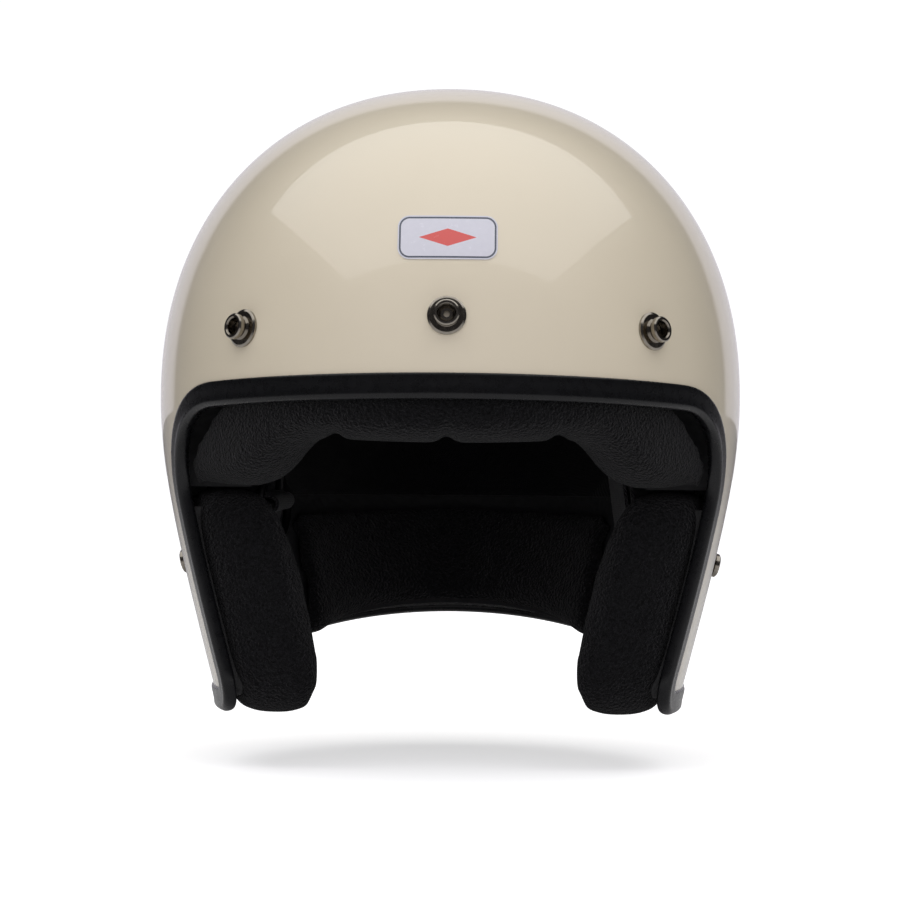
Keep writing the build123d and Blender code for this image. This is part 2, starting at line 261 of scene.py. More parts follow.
def build_weave():
    """Crossing threads: two waves at right angles, one over the other in turn."""
    group, entry, result = new_group("woven threads", {"Thread mm": 1.0}, ["Height"])
    axes = group.nodes.new("ShaderNodeSeparateXYZ")
    group.links.new(object_place(group), axes.inputs[0])
    pitch = add_math(group, "DIVIDE", 2000.0 * pi, entry.outputs["Thread mm"])
    level = add_math(group, "ADD", axes.outputs["X"], axes.outputs["Y"])
    warp = add_math(group, "SINE", add_math(group, "MULTIPLY", level, pitch))
    weft = add_math(group, "SINE", add_math(group, "MULTIPLY", axes.outputs["Z"], pitch))
    over = add_math(group, "MULTIPLY", warp, weft)
    group.links.new(add_math(group, "MULTIPLY", over, 0.5), result.inputs["Height"])
    return group


def build_edge_wear():
    """Bright where an edge stands out, broken up by noise, as handling leaves it."""
    group, entry, result = new_group("edge wear", {"Amount": 1.0}, ["Mask"])
    geometry = group.nodes.new("ShaderNodeNewGeometry")
    noise = group.nodes.new("ShaderNodeTexNoise")
    noise.inputs["Scale"].default_value = 400.0
    group.links.new(object_place(group), noise.inputs["Vector"])
    sharp = add_math(group, "SUBTRACT", geometry.outputs["Pointiness"], 0.52)
    strong = add_math(group, "MULTIPLY", sharp, 8.0)
    broken = add_math(group, "MULTIPLY", strong, noise.outputs["Fac"])
    scaled = add_math(group, "MULTIPLY", broken, entry.outputs["Amount"])
    clamp = group.nodes.new("ShaderNodeClamp")
    group.links.new(scaled, clamp.inputs["Value"])
    group.links.new(clamp.outputs[0], result.inputs["Mask"])
    return group


GRAIN, WEAVE, WEAR = build_grain(), build_weave(), build_edge_wear()
print("shared groups:", [group.name for group in (GRAIN, WEAVE, WEAR)])

# %% [markdown]
# ## Finishes
# Each finish starts from one recipe: two close colours mixed by a grain so that no surface is
# one flat tone, a roughness that moves a little, and a bump for what the hand would feel. The
# plain numbers, such as sheen and coat, are set straight on the shader.

# %% The recipe


def group_node(tree, group, **values):
    node = tree.nodes.new("ShaderNodeGroup")
    node.node_tree = group
    for label, value in values.items():
        node.inputs[label.replace("_", " ")].default_value = value
    return node.outputs[0]


def mix_colours(tree, mask, first, second):
    mix = tree.nodes.new("ShaderNodeMix")
    mix.data_type = "RGBA"
    tree.links.new(mask, mix.inputs["Factor"])
    for socket, colour in ((mix.inputs[6], first), (mix.inputs[7], second)):
        if isinstance(colour, tuple):
            socket.default_value = (*colour, 1.0)
        else:
            tree.links.new(colour, socket)
    return mix.outputs[2]


def spread_value(tree, mask, low, high, start=0.0, end=1.0):
    node = tree.nodes.new("ShaderNodeMapRange")
    node.inputs["From Min"].default_value = start
    node.inputs["From Max"].default_value = end
    node.inputs["To Min"].default_value = low
    node.inputs["To Max"].default_value = high
    tree.links.new(mask, node.inputs["Value"])
    return node.outputs[0]


def add_bump(tree, shader, height, depth_mm, socket="Normal"):
    bump = tree.nodes.new("ShaderNodeBump")
    bump.inputs["Distance"].default_value = depth_mm * MM
    tree.links.new(height, bump.inputs["Height"])
    tree.links.new(bump.outputs[0], shader.inputs[socket])


def finish(name, dark, light, rough, grain_mm, contrast=1.5, metallic=0.0, **plain):
    """A material with a grain in its colour and roughness; returns it with its tree and shader."""
    material = bpy.data.materials.new(name)
    material.use_nodes = True
    tree = material.node_tree
    shader = tree.nodes["Principled BSDF"]
    mask = group_node(tree, GRAIN, Size_mm=grain_mm, Contrast=contrast)
    tree.links.new(mix_colours(tree, mask, dark, light), shader.inputs["Base Color"])
    tree.links.new(spread_value(tree, mask, *rough), shader.inputs["Roughness"])
    shader.inputs["Metallic"].default_value = metallic
    for label, value in plain.items():
        shader.inputs[label.replace("_", " ")].default_value = value
    return material, tree, shader


# %% [markdown]
# ### Cream paint under clear lacquer
# The shell is sprayed cream and lacquered. Lacquer is a second, smoother skin over the colour,
# so the shader's coat does it. Real lacquer is never quite flat: a very shallow peel, a few
# millimetres across, makes long reflections breathe.

# %% Cream paint
cream, tree, shader = finish("cream_paint", (0.675, 0.608, 0.466), (0.695, 0.626, 0.482),
                             (0.28, 0.36), 30.0, Coat_Weight=1.0, Coat_Roughness=0.03,
                             Coat_IOR=1.37, Specular_IOR_Level=0.35)
peel = group_node(tree, GRAIN, Size_mm=7.0, Contrast=1.0)
add_bump(tree, shader, peel, 0.012, "Coat Normal")
add_bump(tree, shader, group_node(tree, GRAIN, Size_mm=0.5, Contrast=1.0), 0.004)
print("finish:", cream.name)

# %% [markdown]
# ### Black rubber
# The trim is an extruded rubber channel with a smooth skin. It is nearly black and a little less
# shiny than plastic.

# %% Black rubber
rubber, tree, shader = finish("trim_rubber", (0.0025, 0.0026, 0.003), (0.005, 0.0052, 0.006),
                              (0.24, 0.32), 3.0, Specular_IOR_Level=0.30)
add_bump(tree, shader, group_node(tree, GRAIN, Size_mm=0.7, Contrast=1.2), 0.015)
print("finish:", rubber.name)

# %% [markdown]
# ### Fleece, quilting, webbing and foam
# Fleece is a mat of short fibres that stand up: a fine, strong grain with a sheen that lights
# its turned-away edges. Lining cloth and webbing are woven, so they take the crossing threads.
# Foam is moulded from beads, and Voronoi cells are just such packed beads.

# %% Fleece
fleece, tree, shader = finish("black_fleece", (0.0014, 0.0014, 0.0016), (0.0080, 0.0080, 0.0090),
                              (0.85, 1.0), 1.3, contrast=3.2, Sheen_Weight=0.07,
                              Sheen_Roughness=0.5, Specular_IOR_Level=0.08)
nap = add_math(tree, "ADD", group_node(tree, GRAIN, Size_mm=1.1, Contrast=3.0),
               group_node(tree, GRAIN, Size_mm=4.5, Contrast=1.2))
add_bump(tree, shader, nap, 0.9)
print("finish:", fleece.name)

# %% Quilted lining cloth and webbing
lining, tree, shader = finish("lining_cloth", (0.0025, 0.0025, 0.003), (0.006, 0.006, 0.0065),
                              (0.75, 0.9), 2.0, Sheen_Weight=0.04, Specular_IOR_Level=0.12)
add_bump(tree, shader, group_node(tree, WEAVE, Thread_mm=1.1), 0.25)
webbing, tree, shader = finish("strap_webbing", (0.006, 0.006, 0.0065), (0.016, 0.016, 0.017),
                               (0.55, 0.75), 1.2, Sheen_Weight=0.1, Specular_IOR_Level=0.35)
add_bump(tree, shader, group_node(tree, WEAVE, Thread_mm=1.6), 0.5)
tab_cloth, tree, shader = finish("red_tab_cloth", (0.20, 0.006, 0.006), (0.30, 0.012, 0.010),
                                 (0.6, 0.8), 1.0, Sheen_Weight=0.1)
add_bump(tree, shader, group_node(tree, WEAVE, Thread_mm=1.2), 0.35)
print("woven finishes:", lining.name, webbing.name, tab_cloth.name)


# %% Bead foam
def bead_foam(name, dark, light, bead_mm):
    material, tree, shader = finish(name, dark, light, (0.6, 0.8), 6.0, Specular_IOR_Level=0.3)
    cells = tree.nodes.new("ShaderNodeTexVoronoi")
    cells.inputs["Scale"].default_value = 1000.0 / bead_mm
    tree.links.new(object_place(tree), cells.inputs["Vector"])
    add_bump(tree, shader, cells.outputs["Distance"], -0.5)
    return material


foam = bead_foam("liner_foam", (0.010, 0.010, 0.011), (0.020, 0.020, 0.021), 3.5)
dense_foam = bead_foam("backing_foam", (0.020, 0.020, 0.020), (0.034, 0.034, 0.034), 2.2)
print("foams:", foam.name, dense_foam.name)

# %% [markdown]
# ### Metal
# The studs and rivets are plated in a dark, warm gunmetal and polished. The hanger plates and
# rings are steel with a black finish. Metal shows its age on its edges first, so the wear mask
# lightens them.


# %% Plated metals
def plated(name, dark, light, worn, rough):
    material, tree, shader = finish(name, dark, light, rough, 1.5, metallic=1.0)
    wear = group_node(tree, WEAR, Amount=1.0)
    base = shader.inputs["Base Color"].links[0].from_socket
    tree.links.new(mix_colours(tree, wear, base, worn), shader.inputs["Base Color"])
    add_bump(tree, shader, group_node(tree, GRAIN, Size_mm=0.4, Contrast=1.0), 0.01)
    return material


gunmetal = plated("snap_gunmetal", (0.17, 0.15, 0.125), (0.24, 0.215, 0.18),
                  (0.55, 0.52, 0.46), (0.13, 0.24))
steel = plated("strap_steel", (0.030, 0.030, 0.031), (0.045, 0.045, 0.046),
               (0.14, 0.14, 0.14), (0.30, 0.42))
print("metals:", gunmetal.name, steel.name)

# %% Press stud plastic
stud_plastic, tree, shader = finish("press_stud_plastic", (0.03, 0.03, 0.03), (0.05, 0.05, 0.05),
                                    (0.35, 0.5), 2.0)
add_bump(tree, shader, group_node(tree, GRAIN, Size_mm=0.5, Contrast=1.0), 0.02)
print("finish:", stud_plastic.name)

# %% [markdown]
# ### Badge
# A thin plate with a printed face: white, with a slate line just inside its edge and a plain
# red lozenge in the middle. The line and the lozenge are distances measured in the material, so
# they stay sharp at any size.

# %% Badge face
low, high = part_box("brow_badge")
BADGE_MID_Z = (low[2] + high[2]) / 2
BADGE_HALF = ((high[0] - low[0]) / 2, (high[2] - low[2]) / 2)
BADGE_CORNER = 4.5 * MM

badge_face, tree, shader = finish("badge_face", (0.57, 0.57, 0.63), (0.61, 0.61, 0.67), (0.2, 0.3), 2.0,
                                  Coat_Weight=0.6, Coat_Roughness=0.05)
axes = tree.nodes.new("ShaderNodeSeparateXYZ")
tree.links.new(object_place(tree), axes.inputs[0])
across = add_math(tree, "ABSOLUTE", axes.outputs["X"])
upright = add_math(tree, "ABSOLUTE", add_math(tree, "SUBTRACT", axes.outputs["Z"], BADGE_MID_Z))
out_x = add_math(tree, "MAXIMUM", add_math(tree, "SUBTRACT", across, BADGE_HALF[0] - BADGE_CORNER), 0.0)
out_z = add_math(tree, "MAXIMUM", add_math(tree, "SUBTRACT", upright, BADGE_HALF[1] - BADGE_CORNER), 0.0)
squares = add_math(tree, "ADD", add_math(tree, "MULTIPLY", out_x, out_x),
                   add_math(tree, "MULTIPLY", out_z, out_z))
from_edge = add_math(tree, "SUBTRACT", BADGE_CORNER, add_math(tree, "SQRT", squares))
line = add_math(tree, "MULTIPLY", add_math(tree, "GREATER_THAN", from_edge, 0.5 * MM),
                add_math(tree, "LESS_THAN", from_edge, 1.2 * MM))
slant = add_math(tree, "ADD", across, add_math(tree, "MULTIPLY", upright, 3.2))
lozenge = add_math(tree, "LESS_THAN", slant, 11.0 * MM)
base = shader.inputs["Base Color"].links[0].from_socket
lined = mix_colours(tree, line, base, (0.045, 0.055, 0.085))
tree.links.new(mix_colours(tree, lozenge, lined, (0.62, 0.06, 0.05)), shader.inputs["Base Color"])
print("badge:", [round(1000 * size, 1) for size in BADGE_HALF], "mm half sizes")

# %% [markdown]
# ## Shell
# The shell is laid up in a mould as one thin skin. A net of even squares is wrapped over the
# crown, because a net with a pole would pinch the long reflections just where they are seen.
# Squares that lie beyond the rim are left out; the trim hides their stepped edge.

# %% Wrap the net over the dome
NET = 190
DROP = 128.0
CORNER_PULL = 0.45


def dome_net(depth, steps=NET):
    line = np.linspace(-1, 1, steps + 1)
    u, v = np.meshgrid(line, line, indexing="ij")
    reach = 1 + DROP / (pi / 2 * (CROWN_HEIGHT - depth))
    s = reach * u * np.sqrt(1 - CORNER_PULL * v * v)
    t = reach * v * np.sqrt(1 - CORNER_PULL * u * u)
    tau = pi / 2 * np.hypot(s, t)
    shape = (np.sin(np.minimum(tau, pi / 2)) ** FULLNESS + np.cos(np.minimum(tau, pi / 2)) ** FULLNESS)
    crown = CROWN_HEIGHT - depth
    z = np.where(tau < pi / 2, crown * np.cos(tau) * shape ** (-1 / FULLNESS), -crown * (tau - pi / 2))
    return wall(np.arctan2(t, s), z, depth)


def behind_rim(points, margin):
    """True where a point is behind the rim by at least a margin, seen from the side."""
    y, z = points[..., 1], points[..., 2]
    outline = np.vstack([rim_view, [[220, 220], [-220, 220]]])
    inside = np.zeros(y.shape, bool)
    for (y0, z0), (y1, z1) in zip(outline, np.roll(outline, -1, axis=0)):
        crosses = (z0 > z) != (z1 > z)
        inside ^= crosses & (y < (y1 - y0) * (z - z0) / ((z1 - z0) or 1e-9) + y0)
    gap = np.full(y.shape, 1e9)
    for (y0, z0), (y1, z1) in zip(rim_view, rim_view[1:]):
        length = max((y1 - y0) ** 2 + (z1 - z0) ** 2, 1e-9)
        share = np.clip(((y - y0) * (y1 - y0) + (z - z0) * (z1 - z0)) / length, 0, 1)
        gap = np.minimum(gap, np.hypot(y - y0 - share * (y1 - y0), z - z0 - share * (z1 - z0)))
    return inside & (gap > margin)


net = dome_net(0.0)
centres = (net[:-1, :-1] + net[1:, :-1] + net[1:, 1:] + net[:-1, 1:]) / 4
kept = behind_rim(centres, 1.2)
row = NET + 1
shell_faces = [(i * row + j, (i + 1) * row + j, (i + 1) * row + j + 1, i * row + j + 1)
               for i, j in np.argwhere(kept)]
used = sorted({index for face in shell_faces for index in face})
renumber = {old: new for new, old in enumerate(used)}
shell = make_piece("painted_shell", net.reshape(-1, 3)[used],
                   [[renumber[index] for index in face] for face in shell_faces], cream,
                   replaces=["outer_shell"])
wall_thickness = shell.modifiers.new("wall", "SOLIDIFY")
wall_thickness.thickness = SHELL * MM
wall_thickness.offset = -1.0
bare, tree, shader = finish("bare_laminate", (0.010, 0.010, 0.010), (0.016, 0.016, 0.016), (0.6, 0.8), 3.0)
shell.data.materials.append(bare)
wall_thickness.material_offset = wall_thickness.material_offset_rim = 1
print("shell:", len(shell_faces), "squares")

# %% [markdown]
# ## Edge trim
# The trim is a rubber channel pressed over the rim. Its section is a flat lap on the outside, a
# round bead at the lip and a shorter lap inside. Sweeping one section round the rim keeps the
# bead even, which is what the long highlight on it shows.

# %% Sweep the section round the rim
TRIM_SECTION = [(-8.0, 0.1), (-7.9, 0.6), (-7.4, 1.0), (-6.0, 1.15), (-4.0, 1.2), (-2.2, 1.25),
                (-1.2, 1.4), (-0.2, 1.6), (0.9, 1.3), (1.7, 0.5), (2.05, -0.6), (2.1, -1.7),
                (1.9, -2.8), (1.3, -3.6), (0.4, -4.1), (-0.8, -4.2), (-3.0, -4.15), (-6.5, -4.05),
                (-7.6, -3.8), (-7.9, -3.2), (-8.0, -2.5)]


def rim_frames(turn, z):
    """Points on the rim, the way beyond it along the wall, and the way out of the wall."""
    points = wall(turn, z, 0.0)
    ahead = np.roll(points, -1, axis=0) - np.roll(points, 1, axis=0)
    ahead /= np.linalg.norm(ahead, axis=1, keepdims=True)
    outward = wall_normal(turn, z)
    beyond = np.cross(ahead, outward)
    beyond /= np.linalg.norm(beyond, axis=1, keepdims=True)
    return points, beyond * (-1 if beyond[0, 2] > 0 else 1), outward


rim_points, beyond, outward = rim_frames(loop_turn, loop_z)
section = np.array(TRIM_SECTION)
trim_points = (rim_points[:, None] + beyond[:, None] * section[None, :, :1]
               + outward[:, None] * section[None, :, 1:])
trim = make_piece("edge_channel", trim_points.reshape(-1, 3),
                  tube_faces(len(rim_points), len(section), True), rubber, replaces=["edge_trim"])
rounder = trim.modifiers.new("smooth", "SUBSURF")
rounder.levels = rounder.render_levels = 1
print("trim:", len(rim_points), "stations")

# %% [markdown]
# ## Padding
# Each pad is sponge in a fleece cover. It is drawn as one section carried along the wall, then
# softened the way a real cover fills out: a plain remesh makes its skin even, and a short cloth
# simulation with a little pressure inside swells it. How far a point may move is capped, so a
# pad stays clear of its neighbours.

# %% Carry a section along the wall
FIRST_PAD = SHELL + 1.6 + 0.6


def swept_pad(name, turns, section_at, material, replaces, y_end=None, taper=(0.72, 0.90, 0.97)):
    """A pad from sections of (depth, height), drawn in a little at both ends."""
    rings = []
    for i, turn in enumerate(turns):
        section = np.array(section_at(turn), float)
        nearest_end = min(i, len(turns) - 1 - i)
        shrink = taper[nearest_end] if nearest_end < 3 else 1.0
        middle = section.mean(axis=0)
        section = middle + (section - middle) * shrink
        turns_here = np.full(len(section), turn)
        if y_end is not None:
            limit = turn_at(y_end, section[:, 1], section[:, 0])
            if cos(turn) > 0:
                turns_here = np.minimum(turns_here, limit)
            else:
                turns_here = np.maximum(turns_here, -pi - limit)
        rings.append(wall(turns_here, section[:, 1], section[:, 0]))
    ring = len(rings[0])
    faces = tube_faces(len(rings), ring, False)
    faces += [tuple(range(ring)), tuple((len(rings) - 1) * ring + j for j in reversed(range(ring)))]
    return make_piece(name, np.array(rings).reshape(-1, 3), faces, material, replaces=replaces)


# %% Swell a pad with a short cloth simulation
def swell(piece, voxel_mm, cap_mm, pressure=4.0):
    """Even out the skin, blow it up a little and put the result in the mesh."""
    even = piece.modifiers.new("even skin", "REMESH")
    even.mode = "VOXEL"
    even.voxel_size = voxel_mm * MM
    even.use_smooth_shade = True
    bake_shape(piece)
    relax = piece.modifiers.new("relax", "SMOOTH")
    relax.factor, relax.iterations = 0.5, 6
    bake_shape(piece)
    before = vertex_places(piece)
    cloth = piece.modifiers.new("cover", "CLOTH")
    cloth.settings.use_pressure = True
    cloth.settings.uniform_pressure_force = pressure
    cloth.settings.effector_weights.gravity = 0.0
    cloth.settings.quality = 5
    for frame_number in range(1, 21):
        scene.frame_set(frame_number)
    bake_shape(piece)
    scene.frame_set(1)
    moved = vertex_places(piece) - before
    travel = np.linalg.norm(moved, axis=1, keepdims=True)
    capped = before + moved * np.minimum(1.0, cap_mm * MM / np.maximum(travel, 1e-9))
    piece.data.vertices.foreach_set("co", capped.ravel())
    softer = piece.modifiers.new("soft skin", "SUBSURF")
    softer.levels = softer.render_levels = 1
    bake_shape(piece)
    print(piece.name, "swelled by up to", round(float(travel.max()) / MM, 1), "mm")


def bake_shape(piece):
    """Put the modified shape into the piece's own mesh."""
    bpy.context.view_layer.update()
    graph = bpy.context.evaluated_depsgraph_get()
    shaped = bpy.data.meshes.new_from_object(piece.evaluated_get(graph), depsgraph=graph)
    shaped.polygons.foreach_set("use_smooth", [True] * len(shaped.polygons))
    piece.modifiers.clear()
    piece.data = shaped


def vertex_places(piece):
    places = np.empty(len(piece.data.vertices) * 3)
    piece.data.vertices.foreach_get("co", places)
    return places.reshape(-1, 3)


def press_seams(piece, spots_mm, depth_mm, width_mm):
    """Draw the cover in along short seams, given as points with the way they pull."""
    places = vertex_places(piece)
    for spot, pull in spots_mm:
        away = places - np.array(spot) * MM
        away = away * np.array([1.0, 0.25, 0.25])
        near = np.exp(-(np.linalg.norm(away, axis=1) / (width_mm * MM)) ** 2)
        places += near[:, None] * np.array(pull) * depth_mm * MM
    piece.data.vertices.foreach_set("co", places.ravel())
    piece.data.update()


# %% [markdown]
# ## Brow bolster
# The brow bolster hangs just under the rim in front and drops lower over the temples, where it
# covers the tops of the cheek pads. Three small seams tuck it up: one in the middle and one
# over each eye.

# %% Brow bolster
RIM_SLOPE = (TEMPLE[1] - BROW_FRONT[1]) / (TEMPLE[0] - BROW_FRONT[0])


def brow_floor(turn):
    """Height of the bolster's lower edge: level in the middle, lower at the temples."""
    reach = abs(float(wall(turn, -15.0, 30.0)[0]))
    drop = np.clip((reach - 44.0) / 26.0, 0, 1)
    return -16.5 - 18.5 * drop * drop * (3 - 2 * drop)


def brow_section(turn):
    floor = brow_floor(turn)
    y = float(wall(turn, 0.0, 10.0)[1])
    rim = min(BROW_FRONT[1] + RIM_SLOPE * (y - BROW_FRONT[0]), -3.0 - 0.75 * max(0.0, y + 92.0))
    shelf = rim + 10.5
    return [(31.2, 22), (35.8, 22), (36.3, 10), (36.5, -4), (36.3, floor + 10), (34, floor + 4),
            (29, floor + 1), (22, floor - 0.3), (14, floor), (8.5, floor + 2),
            (FIRST_PAD + 0.6, min(floor + 6, rim - 3)), (FIRST_PAD + 0.6, shelf - 1),
            (14, shelf), (22, shelf), (31.2, shelf + 1)]


brow_turns = np.linspace(radians(-160.5), radians(-19.5), 70)
brow = swept_pad("brow_pad", brow_turns, brow_section, fleece, ["brow_bolster"], y_end=-46.5,
                 taper=(0.88, 0.96, 0.99))
swell(brow, voxel_mm=3.2, cap_mm=1.8)
seam_turns = [-pi / 2, -pi / 2 + radians(26), -pi / 2 - radians(26)]
brow_seams = [(wall(turn, brow_floor(turn) + 1.0, 20.0), (0, 0.2, 1.0)) for turn in seam_turns]
press_seams(brow, brow_seams, 2.6, 3.2)

# %% [markdown]
# ## Cheek pads
# A cheek pad is a thick block with a rounded front, sewn from a face panel and a gusset. It is
# fullest low down, beside the mouth. Its section is drawn standing, front to back, and carried
# down the wall from top to bottom by the same swelling method.

# %% Cheek pads
CHEEK_TOP, CHEEK_BOTTOM = -36.8, -127.2
CHEEK_FRONT, CHEEK_BACK = -51.0, 0.5


def block_shell(steps, squareness):
    """A rounded cube from -1 to 1, as points and quads."""
    block = bmesh.new()
    bmesh.ops.create_cube(block, size=2.0)
    bmesh.ops.subdivide_edges(block, edges=block.edges[:], cuts=steps, use_grid_fill=True)
    points = np.array([vertex.co[:] for vertex in block.verts])
    faces = [[vertex.index for vertex in face.verts] for face in block.faces]
    block.free()
    norm = (np.abs(points) ** squareness).sum(axis=1, keepdims=True) ** (1 / squareness)
    return points / norm, faces


def cheek_shape(side):
    points, faces = block_shell(14, 6.0)
    along, upright, inward = points.T
    z = CHEEK_BOTTOM + (upright + 1) / 2 * (CHEEK_TOP - CHEEK_BOTTOM)
    lower_belly = 2.2 * np.exp(-((z + 100) / 17) ** 2) - 3.0 * np.clip((-108 - z) / 16, 0, 1) ** 2
    middle_belly = 2.6 * np.exp(-((z + 72) / 20) ** 2)
    inner, outer = 38.2 + lower_belly + middle_belly, FIRST_PAD + 0.4
    depth = outer + (inward + 1) / 2 * (inner - outer)
    heel = 7.0 * np.clip((-100 - z) / 24, 0, 1) ** 2 * (inward < 0)
    y = CHEEK_FRONT + (along + 1) / 2 * (CHEEK_BACK - CHEEK_FRONT) + heel * (along < 0) * 0.5
    spots = wall(turn_at(y, z, depth), z, depth)
    spots[:, 0] *= side
    return spots, faces


for side, label in ((1, "left"), (-1, "right")):
    spots, faces = cheek_shape(side)
    cheek = make_piece("cheek_cushion_" + label, spots, faces, fleece, replaces=["cheek_pad_" + label])
    swell(cheek, voxel_mm=4.0, cap_mm=2.0)

# %% [markdown]
# ## Side bolsters and neck roll
# Two small bolsters fill in beside the temples, and a roll runs round the nape, under the foam's
# lower edge. They use the same swept section and the same swelling.

# %% Side bolsters
SIDE_TURNS = [(radians(-26.5), radians(0.5)), (radians(179.5), radians(206.5))]


def side_section(turn):
    return [(31.3, 22), (35, 22.5), (37.2, 18), (37.6, 0), (37.6, -22), (36.5, -32), (33, -34.5),
            (31.3, -30), (31.0, -10), (31.0, 8)]


for (first, last), label in zip(SIDE_TURNS, ("left", "right")):
    pad = swept_pad("side_pad_" + label, np.linspace(first, last, 16), side_section, fleece,
                    ["side_bolster_" + label])
    swell(pad, voxel_mm=2.6, cap_mm=0.8)

# %% Neck roll
RIM_RISE = (NAPE_REAR[1] - JAW_REAR[1]) / (NAPE_REAR[0] - JAW_REAR[0])


def rear_rim(turn):
    y = float(wall(turn, -95.0, 0.0)[1])
    return JAW_REAR[1] + RIM_RISE * (y - JAW_REAR[0])


def roll_section(turn):
    rim = rear_rim(turn)
    return [(31.2, -44.5), (34.5, -44.2), (36.3, -48), (36.6, -60), (36.6, rim + 16), (35, rim + 8),
            (30, rim + 4.2), (22, rim + 3.4), (14, rim + 3.6), (8, rim + 5),
            (FIRST_PAD + 0.8, rim + 8), (10, rim + 11), (20, rim + 11.4), (31.2, rim + 13)]


roll_turns = np.linspace(radians(31.5), radians(148.5), 56)
roll = swept_pad("nape_roll", roll_turns, roll_section, fleece, ["neck_roll"])
swell(roll, voxel_mm=3.4, cap_mm=1.2)

# %% [markdown]
# ## Quilted lining
# The crown and the back of the head rest on thin lining, quilted in diamonds so that it stays
# put on its foam. The stitch lines pull the cloth down and each diamond stands up a little
# between them, which is one formula: two crossing folded waves.

# %% Quilting
DIAMOND = 17.0


def quilt_puff(points, deepest=1.7):
    """How far the cloth stands up between its stitch lines."""
    run = np.arctan2(points[..., 0], points[..., 1]) * 78.0
    rise = points[..., 2] * 1.15
    first = np.abs(np.sin(pi * (run + rise) / (2 * DIAMOND)))
    second = np.abs(np.sin(pi * (run - rise) / (2 * DIAMOND)))
    return deepest * np.sqrt(first * second)


def crown_lining():
    spokes, rows = 220, 60
    turn = np.linspace(0, 2 * pi, spokes, endpoint=False)
    heights = 26.0 + (CROWN_HEIGHT - 36.0 - 26.0) * np.sin(np.linspace(0, pi / 2, rows))
    inner_rows = []
    for z in heights[:-1]:
        flat = wall(turn, z, 34.6)
        puff = quilt_puff(flat)
        inner_rows.append(wall(turn, z, 34.2 + puff))
    outer_rows = [wall(turn, z, 30.7) for z in np.linspace(26.0, CROWN_HEIGHT - 31.4, 30)]
    rings = outer_rows[::-1] + inner_rows
    points = np.array(rings).reshape(-1, 3)
    faces = tube_faces(len(rings), spokes, False)
    top, low_top = len(points), len(points) + 1
    outer_pole = [0, 3.0, CROWN_HEIGHT - 31.0]
    inner_pole = [0, 3.0, CROWN_HEIGHT - 36.0]
    last = (len(rings) - 1) * spokes
    faces += [(top, (j + 1) % spokes, j) for j in range(spokes)]
    faces += [(low_top, last + j, last + (j + 1) % spokes) for j in range(spokes)]
    return np.vstack([points, outer_pole, inner_pole]), faces


lining_points, lining_faces = crown_lining()
crown = make_piece("crown_quilt", lining_points, lining_faces, lining, replaces=["crown_liner"])


def rear_section(turn):
    return [(30.8, 23)] + [(34.0, z) for z in np.linspace(22.5, -40, 30)] + [(30.8, -40.5)]


rear_turns = np.linspace(radians(29), radians(151), 120)
rear = swept_pad("rear_quilt", rear_turns, rear_section, lining, ["rear_liner"])
places = vertex_places(rear) / MM
inner = np.arange(len(places)) % 32
is_inner = (inner > 0) & (inner < 31)
pull = places - np.array([0, 0, 1]) * places[:, 2:]
pull /= np.linalg.norm(pull, axis=1, keepdims=True)
places -= pull * (quilt_puff(places) * is_inner)[:, None]
rear.data.vertices.foreach_set("co", (places * MM).ravel())
rear.data.update()
print("quilted diamonds:", DIAMOND, "mm")

# %% [markdown]
# ## Finishes on the measured parts
# The hard parts already have their true shape, so they keep it and only take a finish.

# %% Give each measured part its finish
NODE_FINISH = {
    "impact_liner": foam, "crown_insert": dense_foam,
    "cheek_backing_left": dense_foam, "cheek_backing_right": dense_foam,
    "cheek_pad_snaps": stud_plastic, "brow_badge": badge_face,
    "visor_snap_studs": gunmetal, "visor_snap_rivets": gunmetal, "visor_snap_washers": steel,
    "strap_rivets": gunmetal, "strap_rivet_washers": steel,
    "hanger_plate_left": steel, "hanger_plate_right": steel,
    "d_ring_outer": steel, "d_ring_inner": steel,
    "strap_webbing_left": webbing, "strap_webbing_right": webbing, "strap_tail": webbing,
    "pull_tab": tab_cloth, "keeper_stud": gunmetal, "keeper_socket": gunmetal,
    "outer_shell": cream, "edge_trim": rubber, "brow_bolster": fleece, "neck_roll": fleece,
    "crown_liner": lining, "rear_liner": lining,
    "side_bolster_left": fleece, "side_bolster_right": fleece,
    "cheek_pad_left": fleece, "cheek_pad_right": fleece,
}
for node, material in NODE_FINISH.items():
    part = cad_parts[node]
    part.data.materials.clear()
    part.data.materials.append(material)
print("finished nodes:", len(NODE_FINISH))

# %% [markdown]
# ## Floor, camera and light
# The helmet floats a little above a white floor. One large panel overhead gives the curved
# bright patch on the crown, and a soft fill from the front lights the face of the shell. As the
# lacquer mirrors it, the room is dark to the sides and pale behind, so the form falls off and
# keeps a thin pale edge. The floor glows only for the camera: it stays white round its soft
# shadow and throws nothing up at the jaw. Seen from below it lets the view through.

# %% Floor
FLOOR_Z = -0.1496
GLOW_NEAR = 0.60
bpy.ops.mesh.primitive_plane_add(size=30.0, location=(0, 0, FLOOR_Z))
floor = bpy.context.object
floor.name = "studio_floor"
floor_white = bpy.data.materials.new("floor_white")
floor_white.use_nodes = True
floor_shader = floor_white.node_tree.nodes["Principled BSDF"]
floor_shader.inputs["Base Color"].default_value = (0.9, 0.9, 0.9, 1)
floor_shader.inputs["Roughness"].default_value = 0.9
floor_tree = floor_white.node_tree
distance = floor_tree.nodes.new("ShaderNodeVectorMath")
distance.operation = "LENGTH"
floor_tree.links.new(object_place(floor_tree), distance.inputs[0])
glow = spread_value(floor_tree, distance.outputs["Value"], GLOW_NEAR, 1.0, 0.30, 1.3)
seen_only = floor_tree.nodes.new("ShaderNodeLightPath").outputs["Is Camera Ray"]
floor_glow = add_math(floor_tree, "MULTIPLY", glow, seen_only)
floor_tree.links.new(floor_glow, floor_shader.inputs["Emission Strength"])
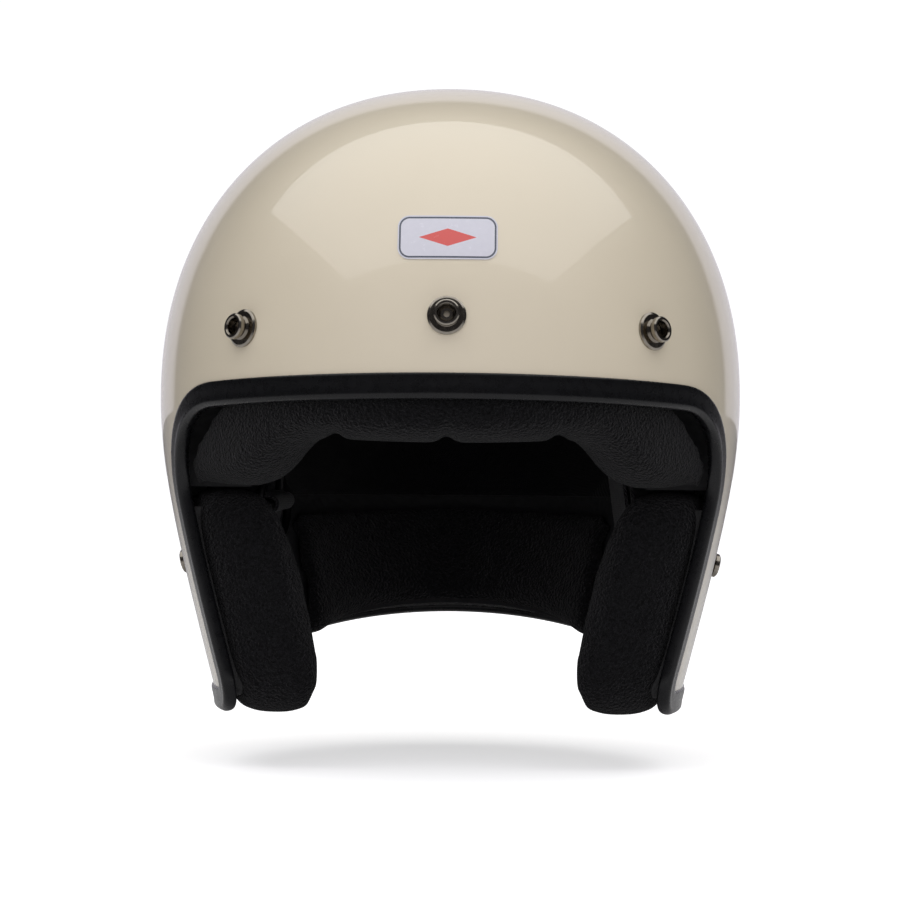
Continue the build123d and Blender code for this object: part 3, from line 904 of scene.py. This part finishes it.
floor_shader.inputs["Emission Color"].default_value = (1, 1, 1, 1)
from_below = floor_tree.nodes.new("ShaderNodeNewGeometry").outputs["Backfacing"]
one_way = floor_tree.nodes.new("ShaderNodeMixShader")
floor_tree.links.new(from_below, one_way.inputs["Fac"])
clear = floor_tree.nodes.new("ShaderNodeBsdfTransparent")
floor_tree.links.new(floor_shader.outputs[0], one_way.inputs[1])
floor_tree.links.new(clear.outputs[0], one_way.inputs[2])
floor_tree.links.new(one_way.outputs[0], floor_tree.nodes["Material Output"].inputs["Surface"])
floor.data.materials.append(floor_white)
print("floor at", FLOOR_Z, "m")

# %% Camera
camera_data = bpy.data.cameras.new("camera")
camera_data.lens = 145.4
camera_data.sensor_width = 36.0
camera = bpy.data.objects.new("camera", camera_data)
YAW = radians(0.7)
camera.location = (1.5 * sin(YAW), -1.5 * cos(YAW), -0.0206)
camera.rotation_euler = (pi / 2, radians(-0.45), YAW)
scene.collection.objects.link(camera)
scene.camera = camera
print("lens:", camera_data.lens, "mm")

# %% Lights


def panel(name, place, size, strength, aim=(0, 0, 0)):
    data = bpy.data.lights.new(name, "AREA")
    data.shape = "RECTANGLE"
    data.size, data.size_y = size
    data.energy = strength
    light = bpy.data.objects.new(name, data)
    light.location = place
    light.rotation_euler = (Vector(aim) - Vector(place)).to_track_quat("-Z", "Y").to_euler()
    scene.collection.objects.link(light)
    return light


HEIGHT = 1.2
panel("overhead_panel", (0, -0.23 * HEIGHT, HEIGHT), (2.30 * HEIGHT, 1.54 * HEIGHT), 21.5,
      aim=(0, -0.23 * HEIGHT, 0))

world = bpy.data.worlds.new("studio")
scene.world = world
world.use_nodes = True
tree = world.node_tree
tree.nodes.clear()
place = tree.nodes.new("ShaderNodeTexCoord")
axes = tree.nodes.new("ShaderNodeSeparateXYZ")
tree.links.new(place.outputs["Generated"], axes.inputs[0])
rays = tree.nodes.new("ShaderNodeLightPath")
mirrored = spread_value(tree, axes.outputs["Y"], 0.05, 0.72, 0.79, 0.83)
fill = spread_value(tree, axes.outputs["Y"], 1.40, 0.0, -1.0, -0.2)
level = tree.nodes.new("ShaderNodeMix")
tree.links.new(rays.outputs["Is Glossy Ray"], level.inputs[0])
tree.links.new(fill, level.inputs[2])
tree.links.new(mirrored, level.inputs[3])
room = tree.nodes.new("ShaderNodeBackground")
tree.links.new(level.outputs[0], room.inputs["Strength"])
room.inputs["Color"].default_value = (0.96, 0.93, 1.0, 1)
seen = tree.nodes.new("ShaderNodeBackground")
seen.inputs["Color"].default_value = (1, 1, 1, 1)
seen.inputs["Strength"].default_value = 1.05
choose = tree.nodes.new("ShaderNodeMixShader")
tree.links.new(rays.outputs["Is Camera Ray"], choose.inputs["Fac"])
tree.links.new(room.outputs[0], choose.inputs[1])
tree.links.new(seen.outputs[0], choose.inputs[2])
out = tree.nodes.new("ShaderNodeOutputWorld")
tree.links.new(choose.outputs[0], out.inputs["Surface"])
scene.view_settings.view_transform = "Standard"
